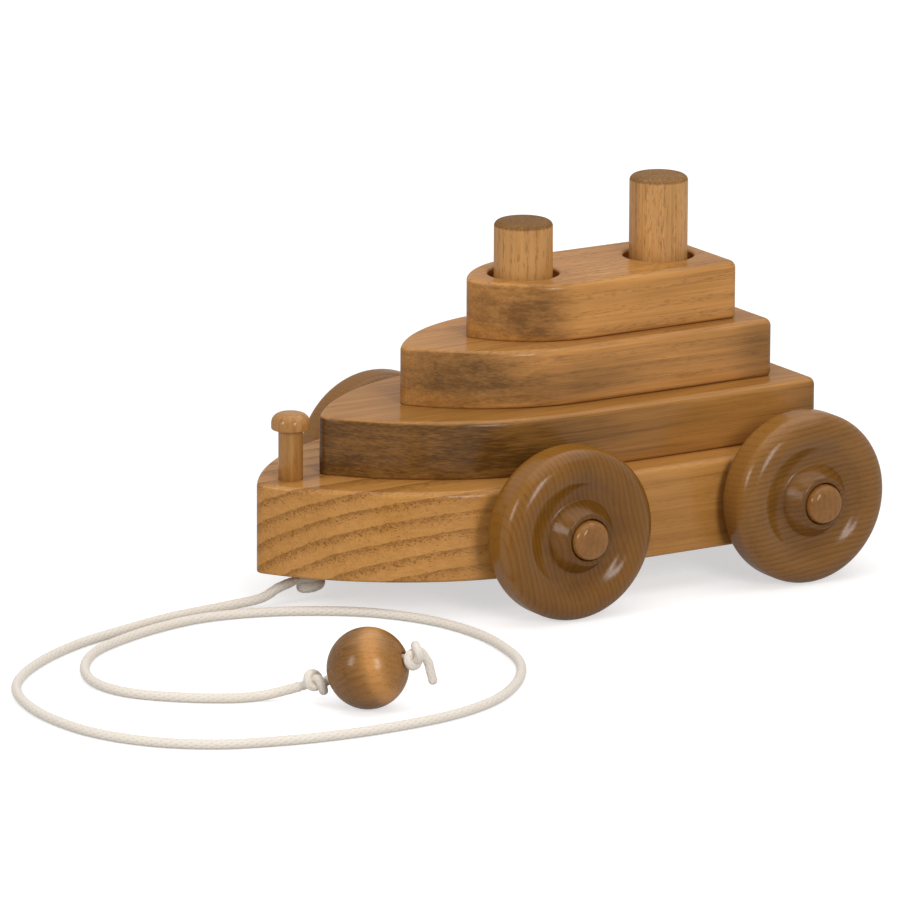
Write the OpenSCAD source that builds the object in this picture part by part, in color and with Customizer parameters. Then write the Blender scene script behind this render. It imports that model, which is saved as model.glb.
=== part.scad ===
// Tugboat pull toy in stained hardwood. A thick hull rolls on two turning
// axles, three decks lift off two posts, and a peg stands in the bow. A
// knotted cord leaves the underside of the bow, lies on the floor in a loop
// and ends in a wooden ball held between two knots.
// All sizes are millimetres. +X is the bow, +Y is port, +Z is up, and the
// origin is on the floor under the middle of the hull.

/* [Hull] */
// Length of the hull from bow to stern
hull_l = 200; // [190:1:225]
// Width of the hull
hull_w = 97; // [90:0.5:110]
// Thickness of the hull
hull_h = 29.5; // [27:0.5:36]
// Length of the hull's curved bow
hull_bow = 83; // [65:1:95]
// Radius of the hull's nose
hull_nose_r = 3.3; // [3:0.1:8]

/* [Decks] */
// Thickness of each deck
deck_t = 19; // [15:0.5:22]
// Length of the lower deck
lower_l = 165; // [150:1:180]
// Width of the lower deck
lower_w = 76; // [70:0.5:90]
// Length of the lower deck's curved bow
lower_bow = 71; // [58:1:85]
// How far the lower deck's bow lies ahead of the front post
lower_fore = 75.8; // [70:0.1:80]
// Length of the middle deck
middle_l = 124; // [112:1:140]
// Width of the middle deck
middle_w = 57; // [50:0.5:68]
// Length of the middle deck's curved bow
middle_bow = 52; // [40:1:60]
// How far the middle deck's bow lies ahead of the front post
middle_fore = 45.7; // [40:0.1:52]
// Length of the upper deck
upper_l = 89.5; // [84:0.5:105]
// Width of the upper deck
upper_w = 43.5; // [38:0.5:54]
// Length of the upper deck's curved bow
upper_bow = 33; // [28:1:40]
// How far the upper deck's bow lies ahead of the front post
upper_fore = 20.7; // [17:0.1:28]
// Radius of the decks' noses
deck_nose_r = 3; // [2.8:0.1:6]

/* [Edges] */
// Rounding of the hull's long edges
hull_edge_r = 2.7; // [1.5:0.1:2.9]
// Rounding of the hull's upright stern corners
hull_corner_r = 3.6; // [3.4:0.1:6]
// Rounding of the decks' long edges
deck_edge_r = 2.5; // [1.5:0.1:2.7]
// Rounding of the decks' upright stern corners
deck_corner_r = 3; // [2.8:0.1:6]

/* [Posts and peg] */
// Diameter of the two posts
post_d = 19.05; // [16:0.05:21]
// Distance between the posts' centres
post_gap = 51.7; // [49:0.1:54]
// How far the front post stands behind the bow
post_back = 99; // [97:0.5:102]
// Height of the front post above the upper deck
front_rise = 17.2; // [10:0.1:40]
// Height of the rear post above the upper deck
rear_rise = 26.4; // [15:0.1:50]
// Rounding of the posts' top edges
post_round = 2; // [0.5:0.1:4]
// Gap all round between a post and its hole in a deck
post_play = 2; // [1:0.1:3]
// Depth of the sockets that hold the posts
post_sink = 16; // [10:0.5:20]
// Diameter of the bow peg's shank
peg_d = 7.9; // [6:0.1:9]
// Height of the bow peg's shank above the hull
peg_rise = 16.3; // [10:0.1:24]
// Diameter of the bow peg's head
peg_head_d = 12.5; // [11:0.1:15]
// Height of the straight lower part of the peg's head
peg_head_h = 2; // [1:0.1:4]
// Diameter of the small flat on top of the peg's head
peg_flat_d = 6; // [3:0.1:8]
// How far the bow peg stands behind the bow
peg_back = 12; // [11:0.5:13]
// Depth of the socket that holds the bow peg
peg_sink = 16; // [8:0.5:20]

/* [Wheels and axles] */
// Diameter of the wheels
wheel_d = 56; // [54:0.5:60]
// Width of the wheels at the tread
wheel_w = 17; // [15:0.5:22]
// Rounding of the wheels' tread edges
tyre_r = 6; // [4:0.1:7]
// Depth of the ring-shaped hollow in a wheel's outer face
dish_depth = 4; // [2.5:0.1:5]
// Radius at the bottom of that hollow
dish_at = 13.4; // [12.6:0.1:14]
// Radius of the wheel's hub
hub_r = 12.2; // [11:0.1:12.4]
// Rounding of the hub's shoulder
hub_round = 4.6; // [3:0.1:5]
// How far the hub stands out past the tread
hub_proud = 3.4; // [1:0.1:5]
// Diameter of the axles
axle_d = 12.7; // [10:0.1:13.5]
// How far an axle's end stands out past the hub
axle_proud = 3; // [1:0.1:6]
// Rounding of the axles' ends
axle_round = 1.2; // [0.4:0.1:2.5]
// Gap all round between an axle and its bore in the hull
axle_play = 0.1; // [0.05:0.05:0.8]
// Height of the axles above the hull's underside
axle_up = 15.8; // [13:0.1:17]
// How far the front axle lies behind the bow
axle_back = 80.3; // [77:0.1:82]
// Distance between the two axles
wheelbase = 89; // [86:0.5:91]
// Gap between the hull's side and a wheel
wheel_gap = 1.2; // [0.5:0.1:4]

/* [Cord and ball] */
// Diameter of the pull cord
cord_d = 3.2; // [2.4:0.1:3.6]
// Diameter of the ball on the cord
ball_d = 25.4; // [22:0.2:30]
// Gap all round between the cord and its bore in the ball
ball_play = 0.4; // [0.3:0.1:1]
// Diameter of the knots beside the ball
knot_d = 8.6; // [7:0.1:10]
// Diameter of the knot under the hull
hull_knot_d = 9.4; // [8:0.1:10]
// How far the cord's hole lies behind the bow
cord_back = 19.5; // [18.5:0.5:22]
// Depth of the cord's hole in the hull's underside
cord_sink = 12; // [8:0.5:14]

/* [Fits] */
// Glue gap all round a post, peg or cord end in its hole
glue_gap = 0.05; // [0.02:0.01:0.1]
// Bevel round the mouths of the deck holes and wheel bores
mouth_bevel = 0.6; // [0.2:0.1:1]
// Gap that keeps the knots off the hull and the ball
knot_gap = 0.3; // [0.2:0.05:1]

/* [Hidden] */
$fn = 96;
eps = 0.01;
wood_tan = [0.66, 0.45, 0.24];
wood_mid = [0.56, 0.37, 0.20];
wood_dark = [0.42, 0.27, 0.15];
wood_wheel = [0.45, 0.28, 0.16];
cord_white = [0.92, 0.88, 0.82];

bow_x = hull_l / 2;
hull_z = wheel_d / 2 - axle_up;
hull_top = hull_z + hull_h;
lower_top = hull_top + deck_t;
middle_top = lower_top + deck_t;
upper_top = middle_top + deck_t;

post_front_x = bow_x - post_back;
post_rear_x = post_front_x - post_gap;
hole_d = post_d + 2 * post_play;
peg_x = bow_x - peg_back;
cord_x = bow_x - cord_back;

axle_z = wheel_d / 2;
axle_front_x = bow_x - axle_back;
axle_rear_x = axle_front_x - wheelbase;
wheel_in_y = hull_w / 2 + wheel_gap;
axle_l = 2 * (wheel_in_y + wheel_w + hub_proud + axle_proud);

// A ring of circles the size of the dish runs smoothly into the tyre's
// rounding, which fixes the dish's own radius.
tyre_at = wheel_d / 2 - tyre_r;
dish_reach = tyre_at - dish_at;
dish_r = (pow(dish_reach, 2) + pow(tyre_r - dish_depth, 2) - pow(tyre_r, 2)) / (2 * dish_depth);
dish_lift = dish_r - dish_depth;
dish_share = tyre_r / (tyre_r + dish_r);
rim_at = tyre_at - dish_reach * dish_share;
rim_drop = tyre_r - (dish_lift + tyre_r) * dish_share;

// The ball rests on the floor with its bore tilted: inner knot low and
// toward the boat's port bow, outer knot high.
ball_at = [129.3, 115.4, ball_d / 2];
ball_turn = 132.6;
ball_tilt = 19.2;
ball_dir = [cos(ball_tilt) * cos(ball_turn), cos(ball_tilt) * sin(ball_turn), sin(ball_tilt)];
knot_half = 0.465 * knot_d;
knot_off = ball_d / 2 + knot_gap + knot_half;
inner_knot_at = ball_at - ball_dir * knot_off;
outer_knot_at = ball_at + ball_dir * knot_off;
neck = knot_half + 1;
tail = [-4.5, 1.8, -9.8];

hull_knot_at = [cord_x, 0, hull_z - knot_gap - hull_knot_d / 2];
cord_out = [0.975, -0.11, 0.08];
cord_out_l = hull_knot_d / 2 + 0.8;
cord_start = hull_knot_at + cord_out * cord_out_l / norm(cord_out);
cord_end = inner_knot_at - ball_dir * neck;
cord_z = cord_d / 2;
// Straight stretch before the inner knot.
cord_lead = 7;

// The cord's way along the floor, from under the bow round to the ball.
floor_way = [
    [111.8, -4.2], [131.7, -1.8], [153.6, 4.4], [171.6, 10.7], [189.5, 20.9], [204.4, 33.4],
    [214.3, 47], [219.7, 63.5], [221, 81.1], [217.7, 100.6], [208.2, 117.7], [193.3, 130.5],
    [175.4, 137.4], [155.5, 141.3], [133.6, 142.2], [111.7, 139.6], [92.7, 131.8], [76.8, 118.2],
    [65.4, 101.7], [59.9, 84.2], [58.2, 64.7], [62.4, 44.2], [73.9, 26.1], [90.9, 13.5],
    [107.8, 6.6], [123.8, 4.3], [139.7, 6.9], [156.6, 12.9], [172.5, 22.1], [184.5, 37],
    [189.6, 53], [186.4, 67.7], [175.4, 80.4], [162.5, 89.3]
];
cord_way = concat(
    [cord_start, [91.9, -1.4, 5.8], [97.9, -2.8, 2.8]],
    [for (p = floor_way) [p[0], p[1], cord_z]],
    [[153.8, 92.2, cord_z + 0.2], cord_end - cord_lead * ball_dir, cord_end]
);
cord_sides = 8;
cord_steps = 2;

// Half of a board's section: from the axis out to reach, t thick, with the
// two outer corners rounded to r.
module edge_profile(reach, t, r) {
    square([reach - r, t]);
    translate([0, r]) square([reach, t - 2 * r]);
    intersection() {
        for (h = [r, t - r]) translate([reach - r, h]) circle(r, $fn = 32);
        translate([reach - r, 0]) square([r, t]);
    }
}

// A disc with rounded rims.
module rim_disc(r, t, edge_r) {
    rotate_extrude() edge_profile(r, t, edge_r);
}

// A boat-shaped board with every edge rounded, its bow tip at x = tip and
// its underside at z = 0. Two long arcs run out of the straight sides and
// meet in a small round nose. Each curved stretch is a sector of a rimmed
// disc, so neighbouring stretches share one section where they meet.
module boat_board(tip, l, w, t, bow, nose_r, corner_r, edge_r) {
    stern = tip - l;
    arc_x = tip - bow;
    run = bow - nose_r;
    nose_x = tip - nose_r;
    arc_r = round(1000 * (run * run + w * w / 4 - nose_r * nose_r) / (w - 2 * nose_r)) / 1000;
    arc_y = arc_r - w / 2;
    // the two bow curves, aft of the nose
    intersection() {
        translate([arc_x, -arc_y, 0]) rim_disc(arc_r, t, edge_r);
        translate([arc_x, arc_y, 0]) rim_disc(arc_r, t, edge_r);
        linear_extrude(t) polygon([
            [nose_x, 0], [nose_x + run, arc_y], [nose_x + run, w], [arc_x, w],
            [arc_x, -w], [nose_x + run, -w], [nose_x + run, -arc_y]
        ]);
    }
    // the nose
    intersection() {
        translate([nose_x, 0, 0]) rim_disc(arc_r - norm([run, arc_y]), t, edge_r);
        linear_extrude(t) polygon([[nose_x, 0], [nose_x + run, arc_y], [nose_x + run, -arc_y]]);
    }
    // the straight sides
    translate([stern + corner_r, 0, 0]) rotate([90, 0, 90])
        linear_extrude(arc_x - stern - corner_r) {
            edge_profile(w / 2, t, edge_r);
            mirror([1, 0]) edge_profile(w / 2, t, edge_r);
        }
    // the stern between its corners
    translate([stern + corner_r, w / 2 - corner_r, 0]) rotate([90, 0, 0])
        linear_extrude(w - 2 * corner_r) mirror([1, 0]) edge_profile(corner_r, t, edge_r);
    // the stern's corners
    for (side = [1, -1])
        intersection() {
            translate([stern + corner_r, side * (w / 2 - corner_r), 0]) rim_disc(corner_r, t, edge_r);
            translate([stern, side > 0 ? w / 2 - corner_r : -w / 2, 0]) cube([corner_r, corner_r, t]);
        }
    // a core that reaches into every stretch and holds them together
    translate([0, 0, t / 4]) linear_extrude(t / 2) polygon([
        [nose_x + nose_r / 2, 0], [arc_x, w / 2 - corner_r / 2], [stern + corner_r / 2, w / 2 - corner_r / 2],
        [stern + corner_r / 2, corner_r / 2 - w / 2], [arc_x, corner_r / 2 - w / 2]
    ]);
}

module hull() {
    color(wood_tan) difference() {
        translate([0, 0, hull_z])
            boat_board(bow_x, hull_l, hull_w, hull_h, hull_bow, hull_nose_r, hull_corner_r, hull_edge_r);
        for (x = [axle_front_x, axle_rear_x])
            translate([x, hull_w / 2 + 1, axle_z]) rotate([90, 0, 0])
                cylinder(d = axle_d + 2 * axle_play, h = hull_w + 2);
        for (x = [post_front_x, post_rear_x])
            translate([x, 0, hull_top - post_sink]) cylinder(d = post_d + 2 * glue_gap, h = post_sink + 1);
        translate([peg_x, 0, hull_top - peg_sink]) cylinder(d = peg_d + 2 * glue_gap, h = peg_sink + 1);
        translate([cord_x, 0, hull_z - 1]) cylinder(d = cord_d + 2 * glue_gap, h = cord_sink + 1);
    }
}

// A deck with its two post holes, bevelled at both faces.
module deck(z, fore, l, w, bow) {
    difference() {
        translate([0, 0, z])
            boat_board(post_front_x + fore, l, w, deck_t, bow, deck_nose_r, deck_corner_r, deck_edge_r);
        for (x = [post_front_x, post_rear_x])
            translate([x, 0, z]) {
                translate([0, 0, -1]) cylinder(d = hole_d, h = deck_t + 2);
                for (end = [0, 1])
                    translate([0, 0, end * deck_t]) mirror([0, 0, end]) translate([0, 0, -eps])
                        cylinder(d1 = hole_d + 2 * mouth_bevel, d2 = hole_d, h = mouth_bevel);
            }
    }
}

module deck_lower() {
    color(wood_dark) deck(hull_top, lower_fore, lower_l, lower_w, lower_bow);
}

module deck_middle() {
    color(wood_mid) deck(lower_top, middle_fore, middle_l, middle_w, middle_bow);
}

module deck_upper() {
    color(wood_mid) deck(middle_top, upper_fore, upper_l, upper_w, upper_bow);
}

// A dowel post from its socket in the hull up past the upper deck.
module post(x, rise) {
    foot = hull_top - post_sink;
    h = upper_top + rise - foot;
    color(wood_tan) translate([x, 0, foot]) rotate_extrude() {
        square([post_d / 2, h - post_round]);
        square([post_d / 2 - post_round, h]);
        intersection() {
            translate([post_d / 2 - post_round, h - post_round]) circle(post_round);
            square([post_d / 2, h]);
        }
    }
}

module post_front() { post(post_front_x, front_rise); }

module post_rear() { post(post_rear_x, rear_rise); }

// The turned bow peg: a plain shank and a head rounded over to a small flat.
module bow_peg() {
    dome_r = (peg_head_d - peg_flat_d) / 2;
    head_z = peg_sink + peg_rise;
    color(wood_tan) translate([peg_x, 0, hull_top - peg_sink]) rotate_extrude() {
        square([peg_d / 2, head_z + eps]);
        translate([0, head_z]) square([peg_head_d / 2, peg_head_h]);
        translate([0, head_z]) square([peg_flat_d / 2, peg_head_h + dome_r]);
        intersection() {
            translate([peg_flat_d / 2, head_z + peg_head_h]) circle(dome_r);
            translate([0, head_z]) square([peg_head_d / 2, peg_head_h + dome_r]);
        }
    }
}

// An axle from wheel to wheel, with rounded ends.
module axle(x) {
    color(wood_tan) translate([x, axle_l / 2, axle_z]) rotate([90, 0, 0])
        rotate_extrude() edge_profile(axle_d / 2, axle_l, axle_round);
}

module axle_front() { axle(axle_front_x); }

module axle_rear() { axle(axle_rear_x); }

// Half of a wheel's section, standing on its inner face: a rounded tyre, a
// dished outer face and a hub with a round shoulder.
module wheel_profile() {
    bore_r = axle_d / 2 + glue_gap;
    top = wheel_w + hub_proud;
    difference() {
        union() {
            for (h = [tyre_r, wheel_w - tyre_r]) translate([tyre_at, h]) circle(tyre_r);
            translate([tyre_at, tyre_r]) square([tyre_r, wheel_w - 2 * tyre_r]);
            square([tyre_at, wheel_w - tyre_r]);
            difference() {
                square([rim_at, wheel_w - rim_drop]);
                translate([dish_at, wheel_w + dish_lift]) circle(dish_r);
            }
            square([hub_r, top - hub_round]);
            square([hub_r - hub_round, top]);
            translate([hub_r - hub_round, top - hub_round]) circle(hub_round);
        }
        translate([-bore_r, -1]) square([2 * bore_r, top + 2]);
        translate([bore_r, top - mouth_bevel])
            polygon([[-eps, 0], [mouth_bevel + eps, mouth_bevel + eps], [-eps, mouth_bevel + eps]]);
    }
}

// A wheel at x on the port (side = 1) or starboard (side = -1) side.
module wheel(x, side) {
    color(wood_wheel) translate([x, side * wheel_in_y, axle_z]) rotate([-90 * side, 0, 0])
        rotate_extrude() wheel_profile();
}

module wheel_front_port() { wheel(axle_front_x, 1); }

module wheel_front_starboard() { wheel(axle_front_x, -1); }

module wheel_rear_port() { wheel(axle_rear_x, 1); }

module wheel_rear_starboard() { wheel(axle_rear_x, -1); }

// Turns what stands along +Z to lie along a direction.
module along(dir) {
    rotate([0, acos(dir[2] / norm(dir)), atan2(dir[1], dir[0])]) children();
}

// A knot pulled tight: two wraps of cord side by side round its axis.
module knot(d) {
    wrap = 0.245 * d;
    rotate_extrude() {
        for (h = [-1, 1]) translate([d / 2 - wrap, h * (0.465 * d - wrap)]) circle(wrap);
        translate([0, -0.465 * d]) square([d / 2 - wrap, 0.93 * d]);
    }
}

// The knot under the bow. The cord's end runs up into the hull from it and
// the pull cord leaves its fore side.
module hull_knot() {
    color(cord_white) translate(hull_knot_at) {
        knot(hull_knot_d);
        cylinder(d = cord_d, h = hull_knot_d / 2 + knot_gap + cord_sink - 1);
        along(cord_out) cylinder(d = cord_d, h = cord_out_l);
    }
}

function unit(v) = v / norm(v);

function bend(a, b, c, d, t) =
    0.5 * (2 * b + (c - a) * t + (2 * a - 5 * b + 4 * c - d) * t * t + (3 * b - a - 3 * c + d) * t * t * t);

// The way with cord_steps rings for each stretch, on one smooth curve.
function smooth_way(way) = let (n = len(way)) concat(
    [for (i = [0:n - 2], s = [0:cord_steps - 1])
        bend(way[max(i - 1, 0)], way[i], way[i + 1], way[min(i + 2, n - 1)], s / cord_steps)],
    [way[n - 1]]
);

// A tube swept along a way, square to first and last at its ends.
module cord_tube(way, d, first, last) {
    n = len(way);
    heading = [for (i = [0:n - 1])
        i == 0 ? unit(first) : i == n - 1 ? unit(last) : unit(way[i + 1] - way[i - 1])];
    points = [for (i = [0:n - 1]) let (
            side = unit(cross(heading[i], [0, 0, 1])),
            rise = cross(side, heading[i])
        ) for (k = [0:cord_sides - 1]) let (a = 360 * (k + 0.5) / cord_sides)
            way[i] + d / 2 * (cos(a) * side + sin(a) * rise)];
    faces = concat(
        [[for (k = [0:cord_sides - 1]) k]],
        [[for (k = [cord_sides - 1:-1:0]) (n - 1) * cord_sides + k]],
        [for (i = [0:n - 2], k = [0:cord_sides - 1]) let (
                a = i * cord_sides + k,
                b = i * cord_sides + (k + 1) % cord_sides
            ) each [[a, a + cord_sides, b], [b, a + cord_sides, b + cord_sides]]]
    );
    polyhedron(points, faces);
}

module pull_cord() {
    color(cord_white) cord_tube(smooth_way(cord_way), cord_d, cord_out, ball_dir);
}

module ball_inner_knot() {
    color(cord_white) translate(inner_knot_at) along(ball_dir) {
        knot(knot_d);
        translate([0, 0, -neck]) cylinder(d = cord_d, h = 2 * neck);
    }
}

// The short stretch of cord inside the ball, from knot to knot.
module cord_in_ball() {
    half = knot_off - neck;
    color(cord_white) translate(ball_at) along(ball_dir)
        translate([0, 0, -half]) cylinder(d = cord_d, h = 2 * half);
}

module pull_ball() {
    color(wood_mid) translate(ball_at) along(ball_dir) difference() {
        sphere(d = ball_d);
        translate([0, 0, -ball_d]) cylinder(d = cord_d + 2 * ball_play, h = 2 * ball_d);
    }
}

module ball_outer_knot() {
    color(cord_white) translate(outer_knot_at) {
        along(ball_dir) {
            knot(knot_d);
            translate([0, 0, -neck]) cylinder(d = cord_d, h = neck);
        }
        along(tail) cylinder(d = cord_d, h = norm(tail));
    }
}

hull();
deck_lower();
deck_middle();
deck_upper();
post_front();
post_rear();
bow_peg();
axle_front();
axle_rear();
wheel_front_port();
wheel_front_starboard();
wheel_rear_port();
wheel_rear_starboard();
hull_knot();
pull_cord();
ball_inner_knot();
cord_in_ball();
pull_ball();
ball_outer_knot();
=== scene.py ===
import math

import bmesh
import bpy
from mathutils import Euler, Matrix, Vector


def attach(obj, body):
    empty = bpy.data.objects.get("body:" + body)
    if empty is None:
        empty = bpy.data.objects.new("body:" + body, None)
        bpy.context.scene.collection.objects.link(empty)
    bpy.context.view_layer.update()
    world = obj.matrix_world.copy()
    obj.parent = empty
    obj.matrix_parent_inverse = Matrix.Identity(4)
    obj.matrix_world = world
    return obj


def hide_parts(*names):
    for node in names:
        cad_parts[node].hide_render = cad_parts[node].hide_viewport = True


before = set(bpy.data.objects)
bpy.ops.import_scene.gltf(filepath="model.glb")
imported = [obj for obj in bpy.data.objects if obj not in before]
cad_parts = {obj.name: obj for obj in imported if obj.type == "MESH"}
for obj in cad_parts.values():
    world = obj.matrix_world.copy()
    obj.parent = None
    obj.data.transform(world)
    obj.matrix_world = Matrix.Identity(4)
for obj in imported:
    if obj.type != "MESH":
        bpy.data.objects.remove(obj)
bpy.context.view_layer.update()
print("frame loaded:", len(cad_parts), "nodes")

mm = 0.001
xAxis = Vector((1, 0, 0))
yAxis = Vector((0, 1, 0))
zAxis = Vector((0, 0, 1))


# the camera stands where the photograph was taken from

view = {
    "place": (1.5292, 2.4163, 0.7651),
    "toCamera": (0.51142, 0.82338, 0.24597),
    "roll": 0.25,
    "lens": 365.3,
    "sensor": 36,
    "sight": 30,
}


def makeCamera():
    data = bpy.data.cameras.new("photoCamera")
    data.lens = view["lens"]
    data.sensor_width = view["sensor"]
    data.clip_end = view["sight"]
    camera = bpy.data.objects.new("photoCamera", data)
    camera.location = view["place"]
    upright = (-Vector(view["toCamera"])).to_track_quat("-Z", "Y").to_matrix()
    camera.rotation_euler = (upright @ Matrix.Rotation(math.radians(view["roll"]), 3, "Z")).to_euler()
    bpy.context.scene.collection.objects.link(camera)
    bpy.context.scene.camera = camera


makeCamera()
print("camera placed")


# small helpers for meshes and shader nodes

boardSharp = 35
turnedSharp = 50
mergeWithin = 0.004
turnSteps = 96
pinTurnSteps = 72
flatWeight = 80


def linkMesh(name, bm):
    mesh = bpy.data.meshes.new(name)
    bm.to_mesh(mesh)
    bm.free()
    made = bpy.data.objects.new(name, mesh)
    bpy.context.scene.collection.objects.link(made)
    return made


def newPiece(name, bm, material, sharpAngle=boardSharp):
    bm.normal_update()
    for face in bm.faces:
        face.smooth = True
    piece = linkMesh(name, bm)
    piece.data.set_sharp_from_angle(angle=math.radians(sharpAngle))
    piece.data.materials.append(material)
    return piece


def settle(piece, body, node):
    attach(piece, body)
    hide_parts(node)


def startAt(bm, point):
    return bmesh.ops.create_vert(bm, co=Vector(point) * mm)["vert"][0]


def lineTo(bm, corner, point):
    made = bmesh.ops.extrude_vert_indiv(bm, verts=[corner])["verts"][0]
    made.co = Vector(point) * mm
    return made


def arcTo(bm, corner, centre, axis, degrees, steps):
    made = bmesh.ops.spin(
        bm, geom=[corner], cent=Vector(centre) * mm, axis=axis, angle=math.radians(degrees), steps=steps
    )
    return [part for part in made["geom_last"] if isinstance(part, bmesh.types.BMVert)][0]


def cleanUp(bm):
    bmesh.ops.remove_doubles(bm, verts=bm.verts, dist=mergeWithin * mm)
    bmesh.ops.recalc_face_normals(bm, faces=bm.faces)


def spinRound(bm, centre, axis, steps=turnSteps):
    bmesh.ops.spin(
        bm, geom=bm.verts[:] + bm.edges[:], cent=Vector(centre) * mm, axis=axis,
        angle=math.tau, steps=steps, use_merge=True,
    )
    cleanUp(bm)


def cutOut(piece, cutters):
    for cutter in cutters:
        cut = piece.modifiers.new(cutter.name, "BOOLEAN")
        cut.object = cutter
        cut.operation = "DIFFERENCE"
        cut.solver = "EXACT"
    shaped = piece.evaluated_get(bpy.context.evaluated_depsgraph_get())
    mesh = bpy.data.meshes.new_from_object(shaped)
    piece.modifiers.clear()
    old = piece.data
    piece.data = mesh
    mesh.name = old.name
    bpy.data.meshes.remove(old)
    for cutter in cutters:
        bpy.data.objects.remove(cutter)
    for face in mesh.polygons:
        face.use_smooth = True
    mesh.set_sharp_from_angle(angle=math.radians(boardSharp))


def keepFlatsFlat(piece):
    # wide faces set the shading, so that only the eased edges shade round
    weighted = piece.modifiers.new("flats", "WEIGHTED_NORMAL")
    weighted.keep_sharp = True
    weighted.weight = flatWeight


def tone(red, green, blue):
    # a colour as it is seen, from 0 to 255, turned into the linear one that the shaders take
    linear = [(part / 255 / 12.92) if part < 11 else ((part / 255 + 0.055) / 1.055) ** 2.4
              for part in (red, green, blue)]
    return (*linear, 1)


def addNode(tree, kind, inputs=None, **settings):
    made = tree.nodes.new(kind)
    for key, value in settings.items():
        setattr(made, key, value)
    for key, value in (inputs or {}).items():
        if isinstance(value, bpy.types.NodeSocket):
            tree.links.new(value, made.inputs[key])
        else:
            made.inputs[key].default_value = value
    return made


def combine(tree, operation, first, second=0.0, clamp=False):
    made = addNode(tree, "ShaderNodeMath", {0: first, 1: second}, operation=operation, use_clamp=clamp)
    return made.outputs[0]


def plus(tree, total, *terms):
    for term in terms:
        total = combine(tree, "ADD", total, term)
    return total


def times(tree, product, *factors):
    for factor in factors:
        product = combine(tree, "MULTIPLY", product, factor)
    return product


def vectorMath(tree, operation, first, second=(0, 0, 0)):
    return addNode(tree, "ShaderNodeVectorMath", {0: first, 1: second}, operation=operation).outputs


def ramp(tree, value, low, high, toLow=0.0, toHigh=1.0):
    made = addNode(
        tree, "ShaderNodeMapRange",
        {"Value": value, "From Min": low, "From Max": high, "To Min": toLow, "To Max": toHigh},
        interpolation_type="SMOOTHSTEP",
    )
    return made.outputs[0]


def mixColor(tree, factor, first, second):
    made = addNode(tree, "ShaderNodeMix", data_type="RGBA")
    for index, value in ((0, factor), (6, first), (7, second)):
        if isinstance(value, bpy.types.NodeSocket):
            tree.links.new(value, made.inputs[index])
        else:
            made.inputs[index].default_value = value
    return made.outputs[2]


def stretchedNoise(tree, vector, scale, detail=1.0, rough=0.5):
    spread = vectorMath(tree, "MULTIPLY", vector, scale)[0]
    return addNode(
        tree, "ShaderNodeTexNoise", {"Vector": spread, "Scale": 1.0, "Detail": detail, "Roughness": rough}
    ).outputs[0]


def ownPlace(tree, scale=(1, 1, 1), turn=(0, 0, 0), shift=(0, 0, 0)):
    # the object's own coordinates in millimetres
    return addNode(
        tree, "ShaderNodeMapping",
        {
            "Vector": addNode(tree, "ShaderNodeTexCoord").outputs["Object"],
            "Scale": [part / mm for part in scale],
            "Rotation": [math.radians(angle) for angle in turn],
            "Location": shift,
        },
    ).outputs[0]


def facingShare(tree, axis):
    # how squarely a face looks along an axis, either way, from 0 to 1
    normal = addNode(tree, "ShaderNodeTexCoord").outputs["Normal"]
    return combine(tree, "ABSOLUTE", vectorMath(tree, "DOT_PRODUCT", normal, axis)["Value"])


def newGroup(name, inputs, outputs):
    group = bpy.data.node_groups.new(name, "ShaderNodeTree")
    for way, sockets in (("INPUT", inputs), ("OUTPUT", outputs)):
        for title, kind in sockets.items():
            group.interface.new_socket(title, in_out=way, socket_type="NodeSocket" + kind)
    return group, group.nodes.new("NodeGroupInput").outputs, group.nodes.new("NodeGroupOutput")


def newMaterial(name):
    material = bpy.data.materials.new(name)
    material.use_nodes = True
    material.node_tree.nodes.clear()
    return material, material.node_tree


# wood: the group works in millimetres, the grain along X, the tree's heart at the origin

# noises: how fast they change along, across and through the grain, and how fine they are
grainNoises = {
    "drift": ((0.006, 0.022, 0.022), 2),
    "jitter": ((0.03, 0.4, 0.4), 2),
    "lineGaps": ((0.04, 0.7, 0.7), 3, 0.6),
    "finePores": ((0.3, 2.3, 2.3), 1),
    "coarsePores": ((0.24, 1.35, 1.35), 2),
    "fibre": ((0.035, 2.3, 2.3), 2, 0.6),
    "streaks": ((0.018, 0.75, 0.75), 3, 0.6),
    "clouds": ((0.016, 0.07, 0.07), 3, 0.55),
}
# ramps: from where to where, and what they give there if not 0 and 1
grainRamps = {
    "lineRise": (0.66, 0.92), "lineFall": (0.93, 1.0, 1, 0), "lineGaps": (0.34, 0.62, 0.1, 1),
    "zoneRise": (0.3, 0.8), "zoneFall": (0.95, 1.0, 1, 0), "finePores": (0.66, 0.76),
    "coarsePores": (0.68, 0.78),
}
# how much each of them counts
grainShares = {
    "wander": 4, "jitter": 1.2, "crowd": 0.13, "streaks": 2.2, "clouds": 2.4, "ringRise": 0.28, "base": 0.25,
    "lineMark": 0.7, "mark": 0.75, "endSpeckle": 1.5, "endBase": 0.7, "dull": 0.14, "rough": 0.36,
    "poreDepth": 0.8, "lineDepth": 0.3, "fibreRise": 0.5,
}
grainSockets = {
    "ringWidth": "Ring Width", "ringShift": "Ring Shift", "wander": "Wander", "rings": "Rings",
    "pores": "Pores", "fibre": "Fibre", "streaks": "Streaks", "clouds": "Clouds",
}
patchPlan = {"noise": ((0.03, 0.1, 0.3), 2), "ragged": 0.6, "fade": (0.25, 1.2, 1, 0)}


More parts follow.
